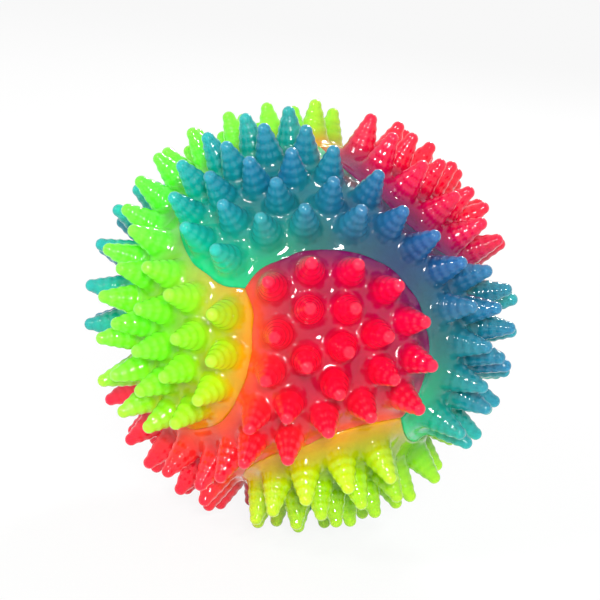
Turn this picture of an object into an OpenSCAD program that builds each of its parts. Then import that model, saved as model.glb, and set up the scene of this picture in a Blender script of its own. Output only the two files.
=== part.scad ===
// Spiky light-up sensory ball: six bonded panels of soft rubber round a clear core, with a shaken flasher inside.
// The origin is the middle of the ball. +Z is up, through a corner where three panels meet, and the ball stands
// on the three spikes round the opposite corner. The front, towards -Y, is the middle of a red lobe.

/* [Skin] */
// Radius of the ball's surface between the spikes
ball_r = 25.5; // [23:0.5:32]
// Thickness of the coloured rubber skin
skin_t = 3; // [2.5:0.25:4]
// Gap left between bonded pieces of rubber
bond_gap = 0.06; // [0.04:0.01:0.1]

/* [Spikes] */
// Height of a spike above the skin
spike_h = 7; // [5.5:0.25:9]
// Radius of the rounded tip of a spike
tip_r = 1.45; // [1.2:0.05:1.5]
// Straight length of the tip above the highest bead
tip_neck = 0.9; // [0.6:0.1:1.5]
// Radius of the highest bead, as a share of the lowest one's
top_bead_share = 0.65; // [0.6:0.01:0.68]
// Number of beads below the tip, the lowest one half sunk in the skin
bead_count = 4; // [3:1:5]

/* [Spike layout, in degrees seen from the middle of the ball] */
// Half the width of a spike's foot, so that the feet of close neighbours run into one another
foot_half = 5.9; // [5.85:0.01:5.95]
// Inner ring of a lobe, three spikes
inner_ring = 6.2; // [6.1:0.05:6.3]
// Middle ring of a lobe, nine spikes
middle_ring = 16.2; // [16.1:0.05:16.3]
// Outer row of a lobe, along its end
outer_ring = 26.7; // [26.6:0.05:26.8]
// Step from one spike of the outer row to the next
outer_step = 25.5; // [25.4:0.05:25.6]
// Sideways shift of a lobe's rings
lobe_shift = 2.2; // [2.1:0.05:2.3]
// Single neck spikes, from the middle of the neck
neck_single = 10.2; // [10:0.1:10.4]
// Paired neck spikes, from the middle of the neck
neck_pair = 19.6; // [19.4:0.1:19.8]
// Paired neck spikes, to each side of the neck's middle line
neck_side = 6.4; // [6.3:0.05:6.5]

/* [Capsule] */
// Wall of the clear capsule
capsule_wall = 1.2; // [0.8:0.1:1.8]
// Height of the lap where the capsule's shells meet
lap_h = 1; // [0.6:0.1:1.4]
// Width of the ledge and of the rib that hold the circuit board
ledge_w = 1.2; // [0.8:0.1:2]
// Height of the ledge and of the rib
ledge_h = 1.4; // [1:0.1:2]
// Least gap between the flasher and the capsule
capsule_clear = 0.3; // [0.2:0.05:0.6]
// Slip clearance between pieces of the flasher
slip = 0.05; // [0.03:0.01:0.1]

/* [Power] */
// Diameter of a button cell
cell_d = 7.9; // [6.8:0.1:9.5]
// Height of a button cell
cell_h = 3.6; // [2.6:0.1:4.2]
// Diameter of a button cell's raised negative face
cell_cap_d = 5.8; // [5:0.1:6.2]
// Height of a button cell's raised negative face
cell_cap_h = 0.4; // [0.2:0.1:0.6]
// Wall of the shrink sleeve round the cells
sleeve_t = 0.2; // [0.1:0.05:0.3]
// Thickness of the battery clip's strip
clip_t = 0.3; // [0.2:0.05:0.4]
// Width of the battery clip's strip
clip_w = 4; // [3:0.25:5]
// Outer radius of the clip's two bends
clip_bend_r = 0.9; // [0.7:0.1:1.2]
// Diameter of the contact pad under the board
pad_d = 5; // [3:0.5:6]
// Thickness of the contact pad
pad_t = 0.2; // [0.1:0.05:0.3]

/* [Circuit board] */
// Thickness of the board
board_t = 1; // [0.8:0.1:1.6]
// Distance of the lamps and the shake switch from the middle of the board
lamp_ring_r = 6.5; // [6.2:0.1:7.5]
// Diameter of a lamp's lens
lamp_d = 3; // [2.6:0.1:3.4]
// Height of a lamp above the board
lamp_h = 5.3; // [4.5:0.1:6]
// Diameter of a lamp's flange
flange_d = 3.8; // [3.5:0.1:4.2]
// Height of a lamp's flange
flange_h = 1; // [0.8:0.1:1.4]
// Diameter of a lamp's legs
leg_d = 0.5; // [0.4:0.05:0.6]
// Distance between a lamp's two legs
leg_pitch = 2.54; // [2:0.02:2.54]
// Clearance round a leg or post in its hole
hole_clear = 0.15; // [0.1:0.05:0.25]
// Length of legs and post below the board
leg_tail = 1.2; // [0.8:0.1:1.6]
// Diameter of the potting drop over the flasher chip
chip_d = 5; // [4:0.25:6]
// Height of the potting drop
chip_h = 1.4; // [1:0.1:1.8]

/* [Shake switch] */
// Middle radius of the coil
coil_r = 1.3; // [1.2:0.05:1.5]
// Wire of the coil
wire_d = 0.3; // [0.2:0.05:0.35]
// Turns of the coil
coil_turns = 5.5; // [4:0.5:6]
// Rise of the coil per turn
coil_pitch = 0.85; // [0.8:0.05:1]
// Gap between the coil's foot and the board
coil_foot_gap = 0.1; // [0.05:0.05:0.2]
// Height of the first turn above the board
coil_lift = 0.8; // [0.7:0.05:1]
// Diameter of the post inside the coil
post_d = 0.8; // [0.5:0.05:0.9]

/* [Hidden] */
$fn = 48;

skin_in_r = ball_r - skin_t;
skin_mid_r = ball_r - skin_t / 2;
core_r = skin_in_r - bond_gap;
root_depth = skin_t / 2;

// Each seam is a circle round the middle of a cube's edge, through the cube's corners
seam_angle = acos(sqrt(2 / 3));
// Half-angle of the disc that bridges the narrow neck between a panel's two lobes
neck_cover = 20;

// The cube's corner that points up and the middle of the red lobe that faces the front
up = [1, 1, -1] / sqrt(3);
back = [-1, 0, -1] / sqrt(2);
right = cross(back, up);

function polar_point(polar, turn) = [sin(polar) * cos(turn), sin(polar) * sin(turn), cos(polar)];
function turn_x(v, a) = [v[0], v[1] * cos(a) - v[2] * sin(a), v[1] * sin(a) + v[2] * cos(a)];
function turn_y(v, a) = [v[0] * cos(a) + v[2] * sin(a), v[1], v[2] * cos(a) - v[0] * sin(a)];
function half_turn_z(v) = [-v[0], -v[1], v[2]];

// Directions of one panel's spikes: the neck lies along +Z and the two lobes towards +X and -X
lobe_rings = concat(
  [for (i = [0:2]) polar_point(inner_ring, 120 * i)],
  [for (i = [0:8]) polar_point(middle_ring, 20 + 40 * i)],
  [for (i = [-3:3]) polar_point(outer_ring, outer_step * i)]
);
half_panel = concat(
  [for (v = lobe_rings) turn_y(turn_x(v, -lobe_shift), 45)],
  [turn_y([0, 0, 1], neck_single)],
  [for (side = [-1, 1]) turn_y(turn_x([0, 0, 1], side * neck_side), neck_pair)]
);
spikes = concat([[0, 0, 1]], half_panel, [for (v = half_panel) half_turn_z(v)]);

// The lowest bead is widest where it meets the skin
foot_bead_r = ball_r * sin(foot_half);
foot_z = ball_r * cos(foot_half);
rounded_from = ball_r + spike_h - tip_r;
bead_pitch = (rounded_from - tip_neck - foot_z) / (bead_count - 0.5);
// A bead's round is larger than half its pitch, so that neighbours meet in a groove
bead_round = 0.7 * bead_pitch;

sleeve_in_r = cell_d / 2 + slip;
clip_in = sleeve_in_r + sleeve_t + slip;
clip_out = clip_in + clip_t;
cells_top = -pad_t;
cells_bottom = cells_top - 3 * cell_h;
clip_bottom = cells_bottom - clip_t;

coil_top = board_t + coil_lift + coil_turns * coil_pitch + wire_d / 2;
lamp_top = board_t + lamp_h;
capsule_in_r = capsule_clear + max(
  norm([clip_out, clip_w / 2, clip_bottom]),
  norm([lamp_ring_r + flange_d / 2, lamp_top]),
  norm([lamp_ring_r + 2 * coil_r, coil_top])
);
capsule_r = capsule_in_r + capsule_wall;
lap_r = capsule_in_r + capsule_wall / 2;
board_r = sqrt(capsule_in_r ^ 2 - board_t ^ 2) - capsule_clear;
pocket_r = capsule_r + bond_gap;

lamp_turns = [90, 210, 330];
switch_turn = 270;

// Panels of the skin

function bead_r(i) = foot_bead_r * (1 + (top_bead_share - 1) * i / (bead_count - 1));
function bead_z(i) = foot_z + i * bead_pitch;
function stem_r(i) = bead_r(i) - bead_round;

module spike_core() {
  top = bead_count - 1;
  polygon(concat(
    [[0, ball_r - root_depth], [stem_r(0), ball_r - root_depth]],
    [for (i = [0:top - 1], k = [0, 1]) [stem_r(i + k), bead_z(i + 0.5)]],
    [[stem_r(top), bead_z(top)], [tip_r, bead_z(top)], [tip_r, rounded_from], [0, rounded_from]]
  ));
}

module spike_profile() {
  intersection() {
    union() {
      spike_core();
      for (i = [0:bead_count - 1]) translate([stem_r(i), bead_z(i)]) circle(bead_round);
      translate([0, rounded_from]) circle(tip_r);
    }
    translate([0, ball_r - root_depth]) square([foot_bead_r + tip_r, spike_h + root_depth + tip_r]);
  }
}

// A ball that meets the middle of the skin squarely, on the seam's circle
module seam_ball(grow) {
  translate([0, 0, skin_mid_r / cos(seam_angle)]) sphere(skin_mid_r * tan(seam_angle) + grow);
}

module panel_skin() {
  difference() {
    intersection() {
      sphere(ball_r);
      union() {
        for (side = [-1, 1]) rotate([0, side * 45, 0]) seam_ball(-bond_gap / 2);
        cylinder(h = ball_r, r = skin_mid_r * sin(neck_cover));
      }
    }
    for (side = [-1, 1]) rotate([side * 45, 0, 0]) seam_ball(bond_gap / 2);
    sphere(skin_in_r);
  }
}

// One panel, with its neck along neck and its lobes along lobes, axes of the cube
module panel(neck, lobes) {
  side = cross(neck, lobes);
  rows = [for (axis = [right, back, up]) [axis * lobes, axis * side, axis * neck, 0]];
  multmatrix(concat(rows, [[0, 0, 0, 1]])) union() {
    panel_skin();
    for (d = spikes) rotate([0, acos(d[2]), atan2(d[1], d[0])]) rotate_extrude() spike_profile();
  }
}

module red_front_panel() { color("crimson") panel([0, 0, 1], [1, 0, 0]); }
module red_back_panel() { color("crimson") panel([0, 0, -1], [1, 0, 0]); }
module blue_right_panel() { color("steelblue") panel([1, 0, 0], [0, 1, 0]); }
module blue_left_panel() { color("steelblue") panel([-1, 0, 0], [0, 1, 0]); }
module green_left_panel() { color("limegreen") panel([0, 1, 0], [0, 0, 1]); }
module green_right_panel() { color("yellowgreen") panel([0, -1, 0], [0, 0, 1]); }

// Clear core

module core_half(side) {
  difference() {
    intersection() {
      sphere(core_r);
      translate([-core_r, -core_r, side > 0 ? bond_gap / 2 : -core_r])
        cube([2 * core_r, 2 * core_r, core_r - bond_gap / 2]);
    }
    sphere(pocket_r);
  }
}

module core_upper_half() { color("lavender", 0.5) core_half(1); }
module core_lower_half() { color("lavender", 0.5) core_half(-1); }

// Capsule

module capsule_wall_ball() {
  difference() {
    sphere(capsule_r);
    sphere(capsule_in_r);
  }
}

// Ring that stands in from the capsule's wall over the edge of the board
module board_ring(z) {
  intersection() {
    sphere(lap_r);
    translate([0, 0, z]) difference() {
      cylinder(h = ledge_h, r = capsule_r);
      translate([0, 0, -ledge_h]) cylinder(h = 3 * ledge_h, r = board_r - ledge_w);
    }
  }
}

module capsule_upper_shell() {
  color("whitesmoke", 0.5) {
    difference() {
      intersection() {
        capsule_wall_ball();
        translate([0, 0, slip]) cylinder(h = capsule_r, r = capsule_r + slip);
      }
      difference() {
        cylinder(h = lap_h + slip, r = 2 * capsule_r);
        translate([0, 0, -lap_h]) cylinder(h = 3 * lap_h, r = lap_r - slip);
      }
    }
    board_ring(board_t + slip);
  }
}

module capsule_lower_shell() {
  color("whitesmoke", 0.5) {
    intersection() {
      capsule_wall_ball();
      union() {
        translate([0, 0, -capsule_r]) cylinder(h = capsule_r, r = capsule_r + slip);
        difference() {
          translate([0, 0, -lap_h]) cylinder(h = 2 * lap_h, r = capsule_r + slip);
          translate([0, 0, -2 * lap_h]) cylinder(h = 4 * lap_h, r = lap_r);
        }
      }
    }
    board_ring(-ledge_h);
  }
}

// Circuit board and what it carries

module at_lamp(turn) {
  rotate(turn) translate([lamp_ring_r, 0, 0]) children();
}

module leg_pair(d, top) {
  for (side = [-1, 1])
    translate([0, side * leg_pitch / 2, -leg_tail]) cylinder(h = top + leg_tail, d = d);
}

module circuit_board() {
  color("seagreen") difference() {
    cylinder(h = board_t, r = board_r);
    for (turn = lamp_turns) at_lamp(turn) leg_pair(leg_d + 2 * hole_clear, board_t + leg_tail);
    at_lamp(switch_turn) translate([0, 0, -board_t]) cylinder(h = 3 * board_t, d = post_d + 2 * hole_clear);
  }
}

module flasher_chip() {
  drop_r = ((chip_d / 2) ^ 2 + chip_h ^ 2) / (2 * chip_h);
  color("dimgray") translate([0, 0, board_t]) intersection() {
    translate([0, 0, chip_h - drop_r]) sphere(drop_r);
    cylinder(h = 2 * chip_h, d = 2 * chip_d);
  }
}

module lamp(turn) {
  at_lamp(turn) {
    translate([0, 0, board_t]) cylinder(h = flange_h, d = flange_d);
    translate([0, 0, board_t]) cylinder(h = lamp_h - lamp_d / 2, d = lamp_d);
    translate([0, 0, lamp_top - lamp_d / 2]) sphere(d = lamp_d);
    leg_pair(leg_d, board_t + flange_h / 2);
  }
}

module red_lamp() { color("red") lamp(lamp_turns[0]); }
module green_lamp() { color("lime") lamp(lamp_turns[1]); }
module blue_lamp() { color("blue") lamp(lamp_turns[2]); }

// Shake switch: a coil that leans until it touches the post inside it

coil_sides = 6;
steps_per_turn = 8;
coil_steps = coil_turns * steps_per_turn;
coil_path = concat(
  [[coil_r, 0, board_t + coil_foot_gap]],
  [for (i = [0:coil_steps]) [
    coil_r * cos(360 * i / steps_per_turn),
    coil_r * sin(360 * i / steps_per_turn),
    board_t + coil_lift + coil_pitch * i / steps_per_turn
  ]]
);

function unit(v) = v / norm(v);

// Corners of the wire round one point of the coil's path
function wire_ring(i) =
  let (
    last = len(coil_path) - 1,
    p = coil_path[i],
    along = unit(coil_path[min(i + 1, last)] - coil_path[max(i - 1, 0)]),
    out = unit([p[0], p[1], 0]),
    across = unit(cross(along, out)),
    outward = cross(across, along)
  )
  [for (k = [0:coil_sides - 1])
    p + wire_d / 2 * (cos(360 * k / coil_sides) * outward + sin(360 * k / coil_sides) * across)];

module shake_coil() {
  rings = len(coil_path);
  corners = [for (i = [0:rings - 1]) each wire_ring(i)];
  sides = [for (i = [0:rings - 2], k = [0:coil_sides - 1])
    let (a = i * coil_sides + k, b = i * coil_sides + (k + 1) % coil_sides)
    each [[a, a + coil_sides, b + coil_sides], [a, b + coil_sides, b]]];
  top = (rings - 1) * coil_sides;
  ends = [for (k = [1:coil_sides - 2]) each [[0, k, k + 1], [top, top + k + 1, top + k]]];
  color("silver") at_lamp(switch_turn) polyhedron(points = corners, faces = concat(sides, ends));
}

module shake_post() {
  color("goldenrod") at_lamp(switch_turn)
    translate([0, 0, -leg_tail]) cylinder(h = coil_top - coil_pitch + leg_tail, d = post_d);
}

// Button cells and their contacts

module cell(place) {
  translate([0, 0, cells_top - place * cell_h]) {
    translate([0, 0, cell_cap_h - cell_h]) cylinder(h = cell_h - cell_cap_h, d = cell_d);
    translate([0, 0, -cell_h]) cylinder(h = cell_h / 2, d = cell_cap_d);
  }
}

module upper_cell() { color("silver") cell(0); }
module middle_cell() { color("silver") cell(1); }
module lower_cell() { color("silver") cell(2); }

module contact_pad() {
  color("gold") translate([0, 0, -pad_t]) cylinder(h = pad_t, d = pad_d);
}

module cell_sleeve() {
  low = cells_bottom + clip_bend_r;
  high = cells_top - cell_cap_h;
  color("royalblue", 0.7) difference() {
    translate([0, 0, low]) cylinder(h = high - low, r = sleeve_in_r + sleeve_t);
    translate([0, 0, cells_bottom]) cylinder(h = 3 * cell_h, r = sleeve_in_r);
  }
}

// Outline of a strip bent into a U, open at the top
module bent_strip(half_w, bottom, bend_r) {
  translate([-half_w, bottom + bend_r]) square([2 * half_w, -bottom - bend_r]);
  translate([-half_w + bend_r, bottom]) square([2 * (half_w - bend_r), bend_r * 2]);
  for (side = [-1, 1]) translate([side * (half_w - bend_r), bottom + bend_r]) circle(bend_r);
}

module battery_clip() {
  color("gainsboro") rotate([90, 0, 0]) linear_extrude(clip_w, center = true) difference() {
    bent_strip(clip_out, clip_bottom, clip_bend_r);
    translate([0, clip_t]) bent_strip(clip_in, clip_bottom, clip_bend_r - clip_t);
  }
}

red_front_panel();
red_back_panel();
blue_right_panel();
blue_left_panel();
green_left_panel();
green_right_panel();
core_upper_half();
core_lower_half();
capsule_upper_shell();
capsule_lower_shell();
circuit_board();
flasher_chip();
red_lamp();
green_lamp();
blue_lamp();
shake_coil();
shake_post();
contact_pad();
upper_cell();
middle_cell();
lower_cell();
cell_sleeve();
battery_clip();
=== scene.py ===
import itertools
import math

import bpy
import numpy as np
from mathutils import Matrix, Vector


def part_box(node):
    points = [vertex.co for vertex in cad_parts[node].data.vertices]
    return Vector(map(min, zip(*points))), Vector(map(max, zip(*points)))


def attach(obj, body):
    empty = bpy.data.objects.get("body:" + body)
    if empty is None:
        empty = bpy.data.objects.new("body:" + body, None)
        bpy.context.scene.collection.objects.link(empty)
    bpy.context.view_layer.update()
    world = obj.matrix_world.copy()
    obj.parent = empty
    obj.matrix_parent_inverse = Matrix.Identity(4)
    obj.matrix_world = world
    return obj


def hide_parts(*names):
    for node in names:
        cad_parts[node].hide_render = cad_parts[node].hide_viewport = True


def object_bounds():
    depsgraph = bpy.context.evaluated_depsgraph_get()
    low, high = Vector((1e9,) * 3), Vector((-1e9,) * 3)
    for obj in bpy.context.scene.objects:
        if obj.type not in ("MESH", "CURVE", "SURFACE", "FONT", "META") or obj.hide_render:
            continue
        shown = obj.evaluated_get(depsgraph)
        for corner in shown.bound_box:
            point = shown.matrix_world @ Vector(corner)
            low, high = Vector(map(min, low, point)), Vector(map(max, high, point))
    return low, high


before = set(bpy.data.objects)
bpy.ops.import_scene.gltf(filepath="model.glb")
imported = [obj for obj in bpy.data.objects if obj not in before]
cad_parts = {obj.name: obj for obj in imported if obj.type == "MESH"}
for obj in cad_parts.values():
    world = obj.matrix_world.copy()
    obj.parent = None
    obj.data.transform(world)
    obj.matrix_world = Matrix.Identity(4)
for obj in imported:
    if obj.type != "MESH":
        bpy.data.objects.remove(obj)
cad_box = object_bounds()

MM = 0.001

# The ball, in millimetres, as in the part's source
BALL_R = 25.5
SKIN_T = 3.0
BOND_GAP = 0.06
SKIN_IN_R = BALL_R - SKIN_T
SKIN_MID_R = BALL_R - SKIN_T / 2
SPIKE_H = 7.0
# Rings of a spike, from the foot half sunk in the skin up to the small ball at the tip
RING_COUNT = 5
FOOT_HALF = math.radians(5.9)
FOOT_RING_R = BALL_R * math.sin(FOOT_HALF)
FOOT_H = BALL_R * math.cos(FOOT_HALF) - BALL_R
TIP_BALL_R = 0.95
TIP_BALL_H = SPIKE_H - TIP_BALL_R
RING_PITCH = (TIP_BALL_H - FOOT_H) / RING_COUNT
# Over half the pitch, so that rings run into each other
RING_ROUND_SHARE = 0.62
RING_ROUND = RING_ROUND_SHARE * RING_PITCH
# Above 1 the spike swells a little between foot and tip
TAPER_POWER = 1.2

# Places of a panel's spikes, in degrees: each lobe has two rings and an outer arc of them round its middle
LOBE_LEAN = 45
LOBE_TURN = -2.2
INNER_RING_POLAR = 6.2
INNER_RING_COUNT = 3
MIDDLE_RING_POLAR = 16.2
MIDDLE_RING_COUNT = 9
OUTER_ARC_POLAR = 26.7
OUTER_ARC_STEP = 25.5
OUTER_ARC_EACH_SIDE = 3
# The neck has one spike on its axis, then a single one and a pair towards each lobe
NECK_SINGLE_LEAN = 10.2
NECK_PAIR_LEAN = 19.6
NECK_PAIR_TURN = 6.4

# Outline of a panel, as angles seen from the middle of the ball
SEAM = math.acos(math.sqrt(2 / 3))
NECK_COVER = math.radians(20)

# Soft rounds of the moulded rubber, in millimetres
SEAM_GAP = 0.01
SEAM_ROUND = 0.35
SEAM_LIP = 0.3
SEAM_LIP_WIDTH = 0.9
INNER_ROUND = 0.4
GROOVE_BLEND = 0.62
FOOT_BLEND = 2.8
NECK_BLEND = 0.25

# Grid that a panel's mesh is made on, in millimetres, with room round the panel
MESH_STEP = 0.28
GRID_MARGIN = 1.0
GRID_REACH = BALL_R + SPIKE_H + GRID_MARGIN
GRID_SIDE = 22.5
GRID_FOOT = -1.5
# A spike is worked out only for points within this angle of its axis
SPIKE_REACH = math.radians(13)
# How the mesh is moved onto the exact surface
SETTLE_ROUNDS = 3
SLOPE_PROBE = 0.02
LEAST_SLOPE_SQUARE = 0.25

# The cube that lays out the six panels: its corner that points up, and the way to the back
UP = np.array([1, 1, -1]) / math.sqrt(3)
BACK = np.array([-1, 0, -1]) / math.sqrt(2)
CUBE_TO_PART = np.array([np.cross(BACK, UP), BACK, UP])

# Panels: colour, axis of the neck, axis of the lobes
PANELS = {
    "red_front_panel": ("red", (0, 0, 1), (1, 0, 0)),
    "red_back_panel": ("red", (0, 0, -1), (1, 0, 0)),
    "blue_right_panel": ("blue", (1, 0, 0), (0, 1, 0)),
    "blue_left_panel": ("blue", (-1, 0, 0), (0, 1, 0)),
    "green_left_panel": ("green", (0, 1, 0), (0, 0, 1)),
    "green_right_panel": ("lime", (0, -1, 0), (0, 0, 1)),
}


# Small helpers

def srgb(r, g, b):
    """Linear colour from the eight-bit values that a screen shows."""
    def lin(c):
        c /= 255
        return c / 12.92 if c <= 0.04045 else ((c + 0.055) / 1.055) ** 2.4
    return (lin(r), lin(g), lin(b), 1.0)


def smooth_min(a, b, width):
    """The lesser of two distances, rounded over where they differ by less than the width."""
    blend = np.maximum(width - np.abs(a - b), 0) / width
    return np.minimum(a, b) - blend * blend * width / 4


def smooth_max(a, b, width):
    return -smooth_min(-a, -b, width)


def turn_x(v, degrees):
    a = math.radians(degrees)
    x, y, z = v
    return np.array([x, y * math.cos(a) - z * math.sin(a), y * math.sin(a) + z * math.cos(a)])


def turn_y(v, degrees):
    a = math.radians(degrees)
    x, y, z = v
    return np.array([x * math.cos(a) + z * math.sin(a), y, z * math.cos(a) - x * math.sin(a)])


def polar_point(polar, turn):
    """Unit vector at an angle from Z and a turn about it, both in degrees."""
    p, t = math.radians(polar), math.radians(turn)
    return np.array([math.sin(p) * math.cos(t), math.sin(p) * math.sin(t), math.cos(p)])


def mesh_object(name, points, faces):
    """Smooth shaded mesh, linked into the scene."""
    mesh = bpy.data.meshes.new(name)
    mesh.from_pydata([tuple(p) for p in points], [], [tuple(f) for f in faces])
    mesh.update()
    mesh.polygons.foreach_set("use_smooth", [True] * len(mesh.polygons))
    obj = bpy.data.objects.new(name, mesh)
    bpy.context.scene.collection.objects.link(obj)
    return obj


# Shape of one panel, as a distance field in the panel's own frame: neck along +Z, lobes along +X and -X

def spike_directions():
    """Axes of a panel's spikes: one on the neck, half of the rest, and that half turned round the neck."""
    inner_step = 360 / INNER_RING_COUNT
    middle_step = 360 / MIDDLE_RING_COUNT
    lobe = [polar_point(INNER_RING_POLAR, inner_step * i) for i in range(INNER_RING_COUNT)]
    lobe += [polar_point(MIDDLE_RING_POLAR, middle_step * (i + 0.5)) for i in range(MIDDLE_RING_COUNT)]
    for i in range(-OUTER_ARC_EACH_SIDE, OUTER_ARC_EACH_SIDE + 1):
        lobe.append(polar_point(OUTER_ARC_POLAR, OUTER_ARC_STEP * i))
    axis = np.array([0.0, 0.0, 1.0])
    half = [turn_y(turn_x(v, LOBE_TURN), LOBE_LEAN) for v in lobe]
    half += [turn_y(axis, NECK_SINGLE_LEAN)]
    half += [turn_y(turn_x(axis, side * NECK_PAIR_TURN), NECK_PAIR_LEAN) for side in (-1, 1)]
    return [axis] + half + [np.array([-x, -y, z]) for x, y, z in half]


SPIKES = spike_directions()


def outline_angle(u):
    """Angle from unit vectors to a panel's outline: negative inside it, positive outside."""
    x, y, z = np.abs(u[:, 0]), np.abs(u[:, 1]), u[:, 2]
    lobe = np.arccos(np.clip((x + z) / math.sqrt(2), -1, 1)) - SEAM
    pinch = SEAM - np.arccos(np.clip((y + z) / math.sqrt(2), -1, 1))
    neck = np.arccos(np.clip(z, -1, 1)) - NECK_COVER
    return np.maximum(np.minimum(lobe, neck), pinch)


def skin_distance(p):
    """Distance to the panel's skin, which is raised a little along the seams."""
    r = np.linalg.norm(p, axis=1)
    side = outline_angle(p / r[:, None]) * SKIN_MID_R + SEAM_GAP / 2
    outside = r - BALL_R - SEAM_LIP * np.exp(-(side / SEAM_LIP_WIDTH) ** 2)
    return smooth_max(smooth_max(outside, side, SEAM_ROUND), SKIN_IN_R - r, INNER_ROUND)


def spike_distance(rho, h):
    """Distance to one spike, at rho from its axis and h above the skin."""
    d = np.hypot(rho, h - TIP_BALL_H) - TIP_BALL_R
    for i in range(RING_COUNT):
        taper = (i / RING_COUNT) ** TAPER_POWER
        flat = FOOT_RING_R + (TIP_BALL_R - FOOT_RING_R) * taper - RING_ROUND
        ring = np.hypot(np.maximum(rho - flat, 0), h - FOOT_H - i * RING_PITCH) - RING_ROUND
        d = smooth_min(d, ring, GROOVE_BLEND)
    return d


def panel_distance(p):
    """Distance to the skin and spikes as one, with wide rounds at the feet and narrow ones further up."""
    d = skin_distance(p)
    unit = p / np.linalg.norm(p, axis=1)[:, None]
    for axis in SPIKES:
        near = np.nonzero(unit @ axis > math.cos(SPIKE_REACH))[0]
        q = p[near]
        along = q @ axis
        rho = np.linalg.norm(q - along[:, None] * axis, axis=1)
        h = along - BALL_R
        width = np.clip(FOOT_BLEND - h, NECK_BLEND, FOOT_BLEND)
        d[near] = smooth_min(d[near], spike_distance(rho, h), width)
    return d


def surface_points(field, origin, step):
    """A point in each cell of the grid that the zero surface crosses, and a grid of the points' numbers."""
    shape = np.array(field.shape) - 1
    corners = list(itertools.product((0, 1), repeat=3))

    def corner(c):
        return field[c[0]:c[0] + shape[0], c[1]:c[1] + shape[1], c[2]:c[2] + shape[2]]

    inside = sum((corner(c) < 0).astype(np.int8) for c in corners)
    cells = np.argwhere((inside > 0) & (inside < 8))
    index = np.full(shape, -1)
    index[tuple(cells.T)] = np.arange(len(cells))
    total = np.zeros((len(cells), 3))
    count = np.zeros(len(cells))
    for a, b in itertools.combinations(corners, 2):
        if sum(abs(i - j) for i, j in zip(a, b)) != 1:
            continue
        va, vb = corner(a)[tuple(cells.T)], corner(b)[tuple(cells.T)]
        cross = (va < 0) != (vb < 0)
        t = np.where(cross, va / np.where(cross, va - vb, 1), 0)
        total += np.where(cross[:, None], np.array(a) + t[:, None] * (np.array(b) - np.array(a)), 0)
        count += cross
    return origin + step * (cells + total / count[:, None]), index


def surface_quads(field, index):
    """A quad round each edge of the grid that the zero surface crosses, facing outwards."""
    quads = []
    for axis in range(3):
        one, two = (axis + 1) % 3, (axis + 2) % 3
        first = np.moveaxis(field, axis, 0)
        change = np.argwhere((first[:-1] < 0) != (first[1:] < 0))
        grid = np.empty_like(change)
        grid[:, axis] = change[:, 0]
        others = [i for i in range(3) if i != axis]
        grid[:, others[0]], grid[:, others[1]] = change[:, 1], change[:, 2]
        out = field[tuple(grid.T)] >= 0
        ring = []
        for s, t in ((0, 0), (1, 0), (1, 1), (0, 1)):
            cell = grid.copy()
            cell[:, one] -= s
            cell[:, two] -= t
            ring.append(index[tuple(cell.T)])
        ring = np.array(ring).T
        ring[out] = ring[out][:, ::-1]
        quads.append(ring)
    return np.concatenate(quads)


def settle(points, distance):
    """Moves points onto the zero surface of a distance field, along its slope."""
    probes = SLOPE_PROBE * np.eye(3)
    changes = [distance(points + probe) - distance(points - probe) for probe in probes]
    slope = np.stack(changes, 1) / (2 * SLOPE_PROBE)
    slope_square = np.maximum((slope * slope).sum(1), LEAST_SLOPE_SQUARE)
    return points - slope * (distance(points) / slope_square)[:, None]


def relax(points, quads):
    """Moves each point half-way to the middle of its neighbours."""
    a = quads.ravel()
    b = np.roll(quads, -1, 1).ravel()
    size = len(points)
    total = np.zeros_like(points)
    for k in range(3):
        total[:, k] = np.bincount(a, points[b, k], size) + np.bincount(b, points[a, k], size)
    count = np.bincount(a, minlength=size) + np.bincount(b, minlength=size)
    return (points + total / count[:, None]) / 2


def panel_mesh():
    """Points and quads of the shape that all six panels share, in the panel's own frame."""
    low = np.array([-GRID_REACH, -GRID_SIDE, GRID_FOOT])
    high = np.array([GRID_REACH, GRID_SIDE, GRID_REACH])
    axes = [np.arange(a, b, MESH_STEP) for a, b in zip(low, high)]
    grid = np.stack(np.meshgrid(*axes, indexing="ij"), -1)
    field = panel_distance(grid.reshape(-1, 3)).reshape(grid.shape[:3])
    points, index = surface_points(field, low, MESH_STEP)
    quads = surface_quads(field, index)
    for _ in range(SETTLE_ROUNDS):
        points = settle(relax(points, quads), panel_distance)
    return settle(points, panel_distance), quads


# Node materials

# Most values of a noise lie between these
NOISE_LOW = 0.3
NOISE_HIGH = 0.7
# Sockets of a mix node that belong to its colours
MIX_FIRST = 6
MIX_SECOND = 7
MIX_RESULT = 2


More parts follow.
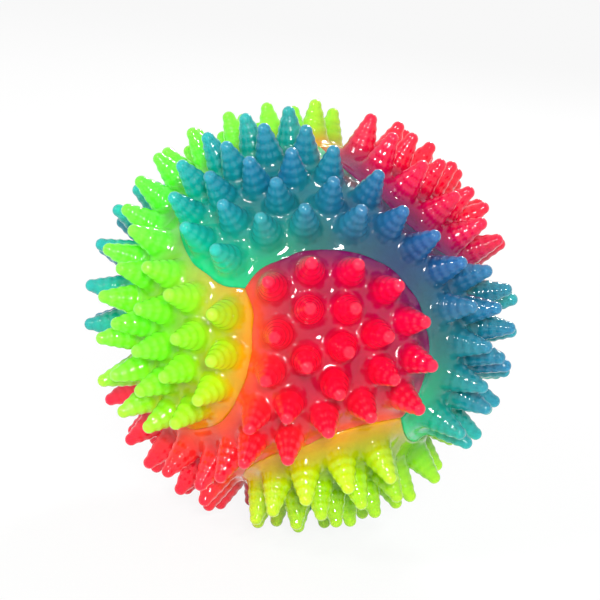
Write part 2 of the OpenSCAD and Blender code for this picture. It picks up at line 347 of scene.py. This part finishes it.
class Shader:
    """A material's node tree with a Principled shader, and short calls that add nodes to it."""

    def __init__(self, name, **values):
        self.material = bpy.data.materials.new(name)
        self.material.use_nodes = True
        self.tree = self.material.node_tree
        self.tree.nodes.clear()
        self.shader = self.node("ShaderNodeBsdfPrincipled")
        self.output = self.node("ShaderNodeOutputMaterial")
        self.link(self.shader.outputs[0], self.output.inputs["Surface"])
        for key, value in values.items():
            self.shader.inputs[key.replace("_", " ")].default_value = value

    def node(self, kind, **settings):
        made = self.tree.nodes.new(kind)
        for key, value in settings.items():
            setattr(made, key, value)
        return made

    def link(self, source, target):
        self.tree.links.new(source, target)

    def to(self, socket, source):
        self.link(source, self.shader.inputs[socket])

    def feed(self, socket, value):
        """Links a value that another node gives, or sets a constant one."""
        if hasattr(value, "links"):
            self.link(value, socket)
        else:
            socket.default_value = value

    def attribute(self, name):
        return self.node("ShaderNodeAttribute", attribute_name=name).outputs["Fac"]

    def noise(self, scale, detail=2.0, stretch=(1, 1, 1)):
        place = self.node("ShaderNodeTexCoord").outputs["Object"]
        mapping = self.node("ShaderNodeMapping")
        mapping.inputs["Scale"].default_value = stretch
        self.link(place, mapping.inputs["Vector"])
        noise = self.node("ShaderNodeTexNoise")
        noise.inputs["Scale"].default_value = scale
        noise.inputs["Detail"].default_value = detail
        self.link(mapping.outputs[0], noise.inputs["Vector"])
        return noise.outputs["Fac"]

    def range(self, source, from_low, from_high, low, high):
        node = self.node("ShaderNodeMapRange")
        ends = {"From Min": from_low, "From Max": from_high, "To Min": low, "To Max": high}
        for key, value in ends.items():
            node.inputs[key].default_value = value
        self.link(source, node.inputs["Value"])
        return node.outputs["Result"]

    def spread(self, noise, low, high):
        """A noise's values brought between two others."""
        return self.range(noise, NOISE_LOW, NOISE_HIGH, low, high)

    def tint(self, noise, low, high):
        """A noise's values as a run between two colours."""
        return self.ramp(noise, [(NOISE_LOW, low), (NOISE_HIGH, high)])

    def ramp(self, source, stops):
        node = self.node("ShaderNodeValToRGB")
        ramp = node.color_ramp
        while len(ramp.elements) < len(stops):
            ramp.elements.new(0.5)
        for element, (place, colour) in zip(ramp.elements, stops):
            element.position = place
            element.color = colour
        self.link(source, node.inputs["Fac"])
        return node.outputs["Color"]

    def mix(self, factor, a, b):
        node = self.node("ShaderNodeMix", data_type="RGBA")
        self.feed(node.inputs["Factor"], factor)
        self.feed(node.inputs[MIX_FIRST], a)
        self.feed(node.inputs[MIX_SECOND], b)
        return node.outputs[MIX_RESULT]

    def product(self, a, b):
        node = self.node("ShaderNodeMath", operation="MULTIPLY")
        self.feed(node.inputs[0], a)
        self.feed(node.inputs[1], b)
        return node.outputs[0]

    def bump(self, height, strength, distance):
        node = self.node("ShaderNodeBump")
        node.inputs["Strength"].default_value = strength
        node.inputs["Distance"].default_value = distance
        self.link(height, node.inputs["Height"])
        self.to("Normal", node.outputs[0])


# Rubber colours in the skin, on the rings and at the tips: the darker skin colour is painted shade between
# the spikes, and the slightly lighter tips are painted light. Then the same three where a neighbour's colour
# is painted in as light that comes through its translucent rubber, with its reach in millimetres
RUBBER = {
    "red": (
        (srgb(168, 0, 54), srgb(236, 6, 42), srgb(240, 12, 48)),
        {
            "blue": ((srgb(96, 0, 84), srgb(176, 4, 84), srgb(214, 10, 72)), 6.5),
            "green": ((srgb(255, 84, 0), srgb(255, 60, 20), srgb(250, 30, 40)), 3.0),
        },
    ),
    "blue": (
        (srgb(8, 40, 114), srgb(16, 72, 152), srgb(32, 98, 166)),
        {
            "red": ((srgb(52, 24, 100), srgb(44, 42, 116), srgb(50, 70, 136)), 6.0),
            "green": ((srgb(0, 200, 120), srgb(0, 200, 140), srgb(16, 190, 156)), 9.5),
        },
    ),
    "green": (
        (srgb(40, 186, 12), srgb(82, 246, 42), srgb(98, 248, 56)),
        {
            "blue": ((srgb(20, 200, 90), srgb(50, 230, 80), srgb(90, 246, 70)), 3.0),
            "red": ((srgb(236, 136, 0), srgb(196, 200, 4), srgb(190, 208, 20)), 8.5),
        },
    ),
    "lime": (
        (srgb(96, 164, 0), srgb(154, 212, 8), srgb(168, 220, 26)),
        {
            "blue": ((srgb(70, 170, 30), srgb(110, 206, 30), srgb(140, 214, 30)), 5.0),
            "red": ((srgb(230, 150, 0), srgb(200, 204, 8), srgb(190, 214, 20)), 4.5),
        },
    ),
}
# Where those three colours lie between the skin and the tips of the spikes
RISE_STOPS = (0.08, 0.4, 1.0)


def rubber(name):
    """Glossy, slightly uneven rubber that lets light in, coloured by height as painted shade, darker in the
    skin between the spikes and a little lighter at the tips, and near its neighbours with painted light in
    their colours, as if coming through their rubber.
    """
    own, neighbours = RUBBER[name]
    s = Shader(
        name + "_rubber", IOR=1.45, Specular_IOR_Level=0.06, Subsurface_Weight=0.8,
        Subsurface_Radius=(1.0, 0.8, 0.7), Subsurface_Scale=0.003, Coat_Weight=0.8, Coat_Roughness=0.02,
    )
    rise = s.attribute("rise")
    # Painted shade: the colour runs from dark in the skin between the spikes to lighter on the rings and tips
    colour = s.ramp(rise, list(zip(RISE_STOPS, own)))
    mottle = s.noise(scale=220, detail=3)
    # Painted light: near each seam the neighbour's colour is mixed in, as light that comes through its
    # rubber, broken up by the mottle
    for other, (tints, _) in neighbours.items():
        glow_through = s.product(s.attribute("near_" + other), s.spread(mottle, low=0.8, high=1.05))
        colour = s.mix(glow_through, colour, s.ramp(rise, list(zip(RISE_STOPS, tints))))
    tone = s.node("ShaderNodeHueSaturation")
    s.link(s.spread(s.noise(scale=90), low=0.9, high=1.08), tone.inputs["Value"])
    s.link(colour, tone.inputs["Color"])
    s.to("Base Color", tone.outputs[0])
    s.to("Roughness", s.spread(s.noise(scale=600), low=0.05, high=0.13))
    s.bump(s.noise(scale=800), strength=0.4, distance=0.0004)
    return s.material


def panel_frame(neck, lobes):
    """Matrix from a panel's own frame to the part's."""
    neck, lobes = np.array(neck, float), np.array(lobes, float)
    return CUBE_TO_PART @ np.array([lobes, np.cross(neck, lobes), neck]).T


def colour_group(colour):
    """Lime is the green rubber where it is yellower."""
    return "green" if colour == "lime" else colour


def dress_panel(name, local_points, quads):
    """Turns the shared shape into place, and notes each point's height and how near the other colours are."""
    colour, neck, lobes = PANELS[name]
    points = local_points @ panel_frame(neck, lobes).T
    piece = mesh_object(name.replace("_panel", "_rubber"), points * MM, quads)
    height = np.linalg.norm(points, axis=1)
    unit = points / height[:, None]
    # Height over the skin, which the rubber turns into painted shade, darker towards the skin
    values = {"rise": np.clip((height - BALL_R) / SPIKE_H, 0, 1)}
    # How near each neighbour's panel is, which the rubber turns into painted light in that neighbour's colour
    for other, (_, reach) in RUBBER[colour][1].items():
        away = np.full(len(points), math.pi)
        for other_colour, other_neck, other_lobes in PANELS.values():
            if colour_group(other_colour) == other:
                away = np.minimum(away, outline_angle(unit @ panel_frame(other_neck, other_lobes)))
        values["near_" + other] = np.exp(-np.maximum(away, 0) * BALL_R / reach)
    for key, value in values.items():
        attribute = piece.data.attributes.new(key, "FLOAT", "POINT")
        attribute.data.foreach_set("value", value.astype(np.float32))
    piece.data.materials.append(MATERIALS[colour])
    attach(piece, "ball")
    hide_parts(name)


# Clear core: two half balls with a pocket for the capsule, rounded at the rims and finely ribbed for the bond

CORE_R = SKIN_IN_R - BOND_GAP
CORE_RIM_ROUND = 0.6
RIB_COUNT = 26
RIB_DEPTH = 0.12
# The profile stops short of the axis by this angle
POLE = math.radians(0.5)
OUTER_STEPS = 120
RIM_STEPS = 6
POCKET_STEPS = 40
LATHE_STEPS = 96


def lathe(name, profile):
    """Ring-shaped solid round Z from a closed loop of (radius, z) points, none of them on the axis."""
    turns = np.linspace(0, 2 * math.pi, LATHE_STEPS, endpoint=False)
    points = [(r * math.cos(t), r * math.sin(t), z) for t in turns for r, z in profile]
    count = len(profile)
    faces = []
    for i in range(LATHE_STEPS):
        here = i * count
        there = (i + 1) % LATHE_STEPS * count
        for k in range(count):
            after = (k + 1) % count
            faces.append((here + k, there + k, there + after, here + after))
    return mesh_object(name, np.array(points) * MM, faces)


def core_half(node, side):
    """One half of the core, above the middle plane for side 1 and below it for side -1."""
    pocket_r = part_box("capsule_upper_shell")[1].x / MM + BOND_GAP
    face_z = BOND_GAP / 2
    rim_z = face_z + CORE_RIM_ROUND
    quarter = math.pi / 2
    profile = []
    for i in range(OUTER_STEPS + 1):
        share = i / OUTER_STEPS
        polar = POLE + (quarter - POLE) * share
        rib = (1 - math.cos(2 * math.pi * RIB_COUNT * share)) / 2
        r = CORE_R - RIB_DEPTH * rib
        if r * math.cos(polar) > rim_z:
            profile.append((r * math.sin(polar), r * math.cos(polar)))
    for a in np.linspace(0, quarter, RIM_STEPS + 1):
        inset = CORE_RIM_ROUND * (1 - math.cos(a))
        profile.append((CORE_R - RIB_DEPTH - inset, face_z + CORE_RIM_ROUND * (1 - math.sin(a))))
    for i in range(POCKET_STEPS + 1):
        polar = quarter - (quarter - POLE) * i / POCKET_STEPS
        profile.append((pocket_r * math.sin(polar), max(pocket_r * math.cos(polar), face_z)))
    # The lower half is mirrored, so its loop runs the other way
    piece = lathe(node.replace("core_", "clear_core_"), [(r, side * z) for r, z in profile][::side])
    piece.data.materials.append(MATERIALS["clear_rubber"])
    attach(piece, "ball")
    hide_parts(node)


# Shake coil: a round wire that rises from its foot and then turns, with the sizes of the part's source

COIL_R = 1.3
WIRE_R = 0.15
COIL_TURNS = 5.5
COIL_PITCH = 0.85
COIL_FOOT_Z = 1.1
COIL_FIRST_Z = 1.8
SWITCH_PLACE = (0.0, -6.5, 0.0)
FOOT_POINTS = 6
STEPS_PER_TURN = 32
WIRE_SIDES = 12


def coil_path():
    """Points along the middle of the wire, round the coil's own axis."""
    foot_rise = np.linspace(COIL_FOOT_Z, COIL_FIRST_Z, FOOT_POINTS)
    turned = np.arange(1, int(COIL_TURNS * STEPS_PER_TURN) + 1) / STEPS_PER_TURN
    turns = np.concatenate([np.zeros(FOOT_POINTS), turned])
    rise = np.concatenate([foot_rise, COIL_FIRST_Z + COIL_PITCH * turned])
    angle = 2 * math.pi * turns - math.pi / 2
    return np.stack([COIL_R * np.cos(angle), COIL_R * np.sin(angle), rise], 1)


def shake_coil():
    path = coil_path()
    along = np.gradient(path, axis=0)
    along /= np.linalg.norm(along, axis=1)[:, None]
    across = np.cross(along, path * (1, 1, 0) / COIL_R)
    across /= np.linalg.norm(across, axis=1)[:, None]
    outward = np.cross(across, along)
    round_wire = np.arange(WIRE_SIDES) * 2 * math.pi / WIRE_SIDES
    points = []
    for p, u, v in zip(path + SWITCH_PLACE, outward, across):
        points += [p + WIRE_R * (math.cos(a) * u + math.sin(a) * v) for a in round_wire]
    faces = []
    for i in range(len(path) - 1):
        for k in range(WIRE_SIDES):
            a = i * WIRE_SIDES + k
            b = i * WIRE_SIDES + (k + 1) % WIRE_SIDES
            faces.append((a, a + WIRE_SIDES, b + WIRE_SIDES, b))
    last = (len(path) - 1) * WIRE_SIDES
    faces.append(range(WIRE_SIDES))
    faces.append([last + k for k in reversed(range(WIRE_SIDES))])
    piece = mesh_object("shake_coil_wire", np.array(points) * MM, faces)
    piece.data.materials.append(MATERIALS["spring_steel"])
    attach(piece, "coil")
    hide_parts("shake_coil")


# Materials of the pieces inside

NODE_MATERIALS = {
    "capsule_upper_shell": "clear_plastic",
    "capsule_lower_shell": "clear_plastic",
    "circuit_board": "board_laminate",
    "flasher_chip": "potting",
    "red_lamp": "red_lens",
    "green_lamp": "green_lens",
    "blue_lamp": "blue_lens",
    "shake_post": "contact_brass",
    "contact_pad": "contact_brass",
    "upper_cell": "cell_steel",
    "middle_cell": "cell_steel",
    "lower_cell": "cell_steel",
    "cell_sleeve": "sleeve_film",
    "battery_clip": "spring_steel",
}
# A dense grain has a steeper run between its two colours
GRAIN_LOW = 0.35
GRAIN_HIGH = 0.65
# Height at which a lamp's lens ends and its legs begin, in metres, and half the width of the edge between
LEG_TOP = 0.001
LEG_EDGE = 0.00002


def metal(name, light, dark, grain=(1, 1, 12)):
    """Brushed metal, with its grain drawn out along one axis."""
    s = Shader(name, Metallic=1.0)
    brushed = s.noise(scale=900, detail=4, stretch=grain)
    s.to("Base Color", s.tint(brushed, dark, light))
    s.to("Roughness", s.spread(brushed, low=0.18, high=0.4))
    s.bump(brushed, strength=0.1, distance=0.00005)
    return s.material


def clear(name, low, high, roughness):
    """Clear material, a little cloudy."""
    s = Shader(name, IOR=1.45, Transmission_Weight=0.85)
    cloud = s.noise(scale=150, detail=3)
    s.to("Base Color", s.tint(cloud, low, high))
    s.to("Roughness", s.spread(cloud, low=roughness, high=roughness + 0.12))
    s.bump(s.noise(scale=800), strength=0.08, distance=0.0001)
    return s.material


def solid(name, low, high, scale, roughness, depth):
    """Opaque plastic with a fine grain."""
    s = Shader(name)
    grain = s.noise(scale, detail=4)
    s.to("Base Color", s.ramp(grain, [(GRAIN_LOW, low), (GRAIN_HIGH, high)]))
    s.to("Roughness", s.spread(grain, low=roughness, high=roughness + 0.15))
    s.bump(grain, strength=0.2, distance=depth)
    return s.material


def lamp_lens(name, low, high):
    """Tinted clear lens above the board, tinned legs below the flange."""
    s = Shader(name, IOR=1.5)
    place = s.node("ShaderNodeSeparateXYZ")
    s.link(s.node("ShaderNodeTexCoord").outputs["Object"], place.inputs[0])
    is_leg = s.range(place.outputs["Z"], LEG_TOP - LEG_EDGE, LEG_TOP + LEG_EDGE, low=1.0, high=0.0)
    haze = s.noise(scale=700)
    s.to("Base Color", s.mix(is_leg, s.tint(haze, low, high), srgb(196, 198, 202)))
    s.to("Metallic", is_leg)
    s.to("Transmission Weight", s.range(is_leg, 0.0, 1.0, low=0.7, high=0.0))
    s.to("Roughness", s.spread(haze, low=0.05, high=0.16))
    return s.material


def board_laminate():
    """Green lacquer over a woven laminate, with darker tracks."""
    s = Shader("board_laminate")
    weave = s.noise(scale=2500)
    tracks = s.node("ShaderNodeTexBrick")
    s.link(s.node("ShaderNodeTexCoord").outputs["Object"], tracks.inputs["Vector"])
    settings = {
        "Scale": 700,
        "Mortar Size": 0.03,
        "Color1": srgb(24, 112, 62),
        "Color2": srgb(28, 122, 68),
        "Mortar": srgb(14, 78, 44),
    }
    for key, value in settings.items():
        tracks.inputs[key].default_value = value
    thread = s.spread(weave, low=0.0, high=0.12)
    s.to("Base Color", s.mix(thread, tracks.outputs["Color"], srgb(60, 150, 90)))
    s.to("Roughness", s.spread(weave, low=0.25, high=0.45))
    s.bump(weave, strength=0.15, distance=0.00004)
    return s.material


def paint_node(node, material):
    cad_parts[node].material_slots[0].material = MATERIALS[material]


# Floor, light and camera

FLOOR_HALF = 4.0
# Share of plain white in the floor where the camera sees it
FLOOR_LIFT = 0.9

# The camera, fitted to the photo: its way up and back, and where the middle of the ball lies in the picture
CAMERA_UP = Vector((-0.0698, 0.2609, 0.9630))
CAMERA_BACK = Vector((-0.1834, -0.9521, 0.2446))
CAMERA_DISTANCE = 0.26
VIEW_ANGLE = math.radians(19.70)
SENSOR_WIDTH = 36
IMAGE_SIDE = 600
BALL_PIXEL = (300.85, 315.18)


def seen_directly(tree):
    """A factor of 1 for what the camera sees, also by reflection or through a clear piece, 0 otherwise."""
    path = tree.nodes.new("ShaderNodeLightPath")
    factor = path.outputs["Is Camera Ray"]
    for ray in ("Is Glossy Ray", "Is Transmission Ray"):
        either = tree.nodes.new("ShaderNodeMath")
        either.operation = "MAXIMUM"
        tree.links.new(factor, either.inputs[0])
        tree.links.new(path.outputs[ray], either.inputs[1])
        factor = either.outputs[0]
    return factor


def stage_floor():
    """A pale floor that keeps the shadow, lifted most of the way to white where the camera sees it."""
    z = cad_box[0].z
    corners = [(x * FLOOR_HALF, y * FLOOR_HALF, z) for x, y in ((-1, -1), (1, -1), (1, 1), (-1, 1))]
    floor = mesh_object("floor", corners, [(0, 1, 2, 3)])
    s = Shader("floor_paper", Roughness=0.9, Specular_IOR_Level=0.1)
    s.to("Base Color", s.tint(s.noise(scale=500, detail=4), srgb(247, 247, 247), srgb(250, 250, 250)))
    white = s.node("ShaderNodeEmission")
    lift = s.node("ShaderNodeMixShader")
    s.link(s.product(seen_directly(s.tree), FLOOR_LIFT), lift.inputs[0])
    s.link(s.shader.outputs[0], lift.inputs[1])
    s.link(white.outputs[0], lift.inputs[2])
    s.link(lift.outputs[0], s.output.inputs["Surface"])
    floor.data.materials.append(s.material)


def area_light(name, place, size, power):
    """Round lamp that faces the middle of the ball."""
    data = bpy.data.lights.new(name, "AREA")
    data.shape = "DISK"
    data.size = size
    data.energy = power
    lamp = bpy.data.objects.new(name, data)
    lamp.location = place
    lamp.rotation_euler = (-Vector(place)).to_track_quat("-Z", "Y").to_euler()
    bpy.context.scene.collection.objects.link(lamp)


def world_light(strength):
    """White surroundings, at full strength where the camera sees them and softer as light."""
    world = bpy.data.worlds.new("studio")
    world.use_nodes = True
    tree = world.node_tree
    tree.nodes.clear()
    mix = tree.nodes.new("ShaderNodeMixShader")
    tree.links.new(seen_directly(tree), mix.inputs[0])
    for socket, level in ((mix.inputs[1], strength), (mix.inputs[2], 1.0)):
        background = tree.nodes.new("ShaderNodeBackground")
        background.inputs["Color"].default_value = (1, 1, 1, 1)
        background.inputs["Strength"].default_value = level
        tree.links.new(background.outputs[0], socket)
    output = tree.nodes.new("ShaderNodeOutputWorld")
    tree.links.new(mix.outputs[0], output.inputs["Surface"])
    bpy.context.scene.world = world


def make_camera():
    data = bpy.data.cameras.new("camera")
    data.sensor_width = SENSOR_WIDTH
    data.lens = SENSOR_WIDTH / 2 / math.tan(VIEW_ANGLE / 2)
    data.shift_x = (IMAGE_SIDE / 2 - BALL_PIXEL[0]) / IMAGE_SIDE
    data.shift_y = (BALL_PIXEL[1] - IMAGE_SIDE / 2) / IMAGE_SIDE
    camera = bpy.data.objects.new("camera", data)
    back = CAMERA_BACK.normalized()
    right = CAMERA_UP.cross(back).normalized()
    up = back.cross(right)
    turn = Matrix((right, up, back)).transposed().to_4x4()
    camera.matrix_world = Matrix.Translation(back * CAMERA_DISTANCE) @ turn
    bpy.context.scene.collection.objects.link(camera)
    bpy.context.scene.camera = camera


# Everything put together

MATERIALS = {name: rubber(name) for name in RUBBER}
MATERIALS.update({
    "clear_rubber": clear("clear_rubber", srgb(225, 228, 236), srgb(244, 246, 250), roughness=0.12),
    "clear_plastic": clear("clear_plastic", srgb(236, 238, 240), srgb(250, 250, 250), roughness=0.04),
    "board_laminate": board_laminate(),
    "potting": solid(
        "potting", srgb(18, 18, 20), srgb(44, 44, 48), scale=900, roughness=0.3, depth=0.00006,
    ),
    "red_lens": lamp_lens("red_lens", srgb(206, 20, 24), srgb(240, 60, 56)),
    "green_lens": lamp_lens("green_lens", srgb(24, 180, 60), srgb(70, 226, 100)),
    "blue_lens": lamp_lens("blue_lens", srgb(30, 60, 210), srgb(80, 120, 245)),
    "spring_steel": metal("spring_steel", srgb(196, 198, 202), srgb(150, 152, 158)),
    "contact_brass": metal("contact_brass", srgb(226, 184, 96), srgb(184, 140, 62), grain=(1, 12, 1)),
    "cell_steel": metal("cell_steel", srgb(214, 215, 218), srgb(172, 174, 180), grain=(1, 1, 10)),
    "sleeve_film": solid(
        "sleeve_film", srgb(26, 62, 160), srgb(40, 84, 190), scale=300, roughness=0.2, depth=0.00005,
    ),
})

panel_points, panel_quads = panel_mesh()
for panel_name in PANELS:
    dress_panel(panel_name, panel_points, panel_quads)
core_half("core_upper_half", 1)
core_half("core_lower_half", -1)
shake_coil()
for node_name, material_name in NODE_MATERIALS.items():
    paint_node(node_name, material_name)

stage_floor()
world_light(strength=0.35)
area_light("key", place=(-0.07, -0.56, 0.24), size=0.12, power=3.0)
area_light("side", place=(-0.40, -0.28, 0.38), size=0.1, power=1.3)
area_light("back", place=(0.25, 0.45, 0.40), size=0.125, power=2.4)
make_camera()
bpy.context.scene.view_settings.view_transform = "Standard"
